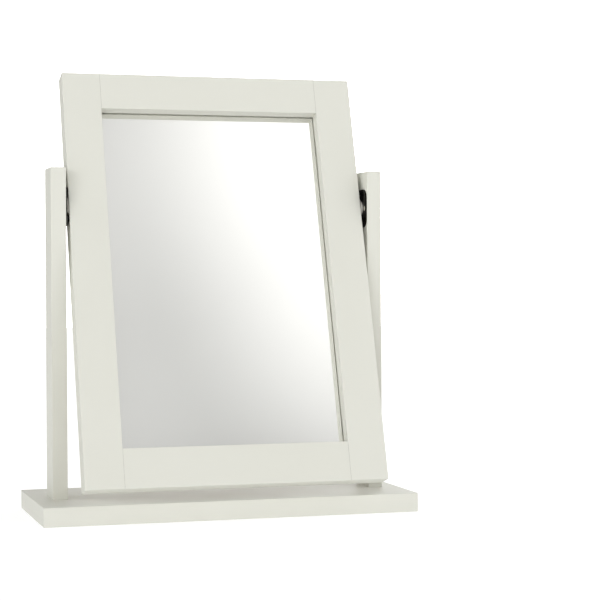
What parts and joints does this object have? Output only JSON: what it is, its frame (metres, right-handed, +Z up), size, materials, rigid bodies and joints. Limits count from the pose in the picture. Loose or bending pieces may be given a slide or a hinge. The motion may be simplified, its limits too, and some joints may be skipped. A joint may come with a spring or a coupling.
{
  "type": "dressing table mirror",
  "caption": "Rectangular framed mirror that tilts on friction pivots between square posts on a flat base board, for a dressing table.",
  "frame": {"origin": "middle of the underside of the base board, on the surface that the mirror stands on", "axes": "+Z up, +X to the right along the tilt axis, the glass faces -Y"},
  "size_m": [0.5, 0.2268, 0.5879],
  "materials": {
    "painted_wood": "ivory satin paint",
    "beech": "bare turned beech",
    "bare_wood": "bare planed softwood",
    "hardboard": "smooth face of hardboard",
    "clear_glass": "polished float glass",
    "silver": "silvered",
    "dark_steel": "black nickel plate",
    "nickel": "satin nickel plate",
    "zinc_steel": "bright zinc plate",
    "nylon": "moulded natural nylon"
  },
  "bodies": {
    "stand": {"base_board": "painted_wood", "left_post": "painted_wood", "right_post": "painted_wood", "post_dowels": "beech", "post_screws": "zinc_steel", "left_post_plate": "dark_steel", "right_post_plate": "dark_steel", "post_plate_screws": "nickel", "left_friction_washer": "nylon", "right_friction_washer": "nylon"},
    "mirror_frame": {"left_stile": "painted_wood", "right_stile": "painted_wood", "top_rail": "painted_wood", "bottom_rail": "painted_wood", "corner_dowels": "beech", "mirror_glass": "clear_glass", "silvering": "silver", "back_panel": "hardboard", "top_bead": "bare_wood", "bottom_bead": "bare_wood", "left_bead": "bare_wood", "right_bead": "bare_wood", "bead_pins": "zinc_steel", "left_frame_plate": "nickel", "right_frame_plate": "nickel", "frame_plate_screws": "nickel", "left_pivot_stud": "nickel", "right_pivot_stud": "nickel", "left_spring_washer": "zinc_steel", "right_spring_washer": "zinc_steel", "left_lock_nut": "zinc_steel", "right_lock_nut": "zinc_steel"}
  },
  "joints": [
    {"name": "mirror_tilt", "type": "hinge", "parent": "stand", "child": "mirror_frame", "pos_m": [0, 0, 0.40724], "axis": [1, 0, 0], "continuous": true}
  ]
}
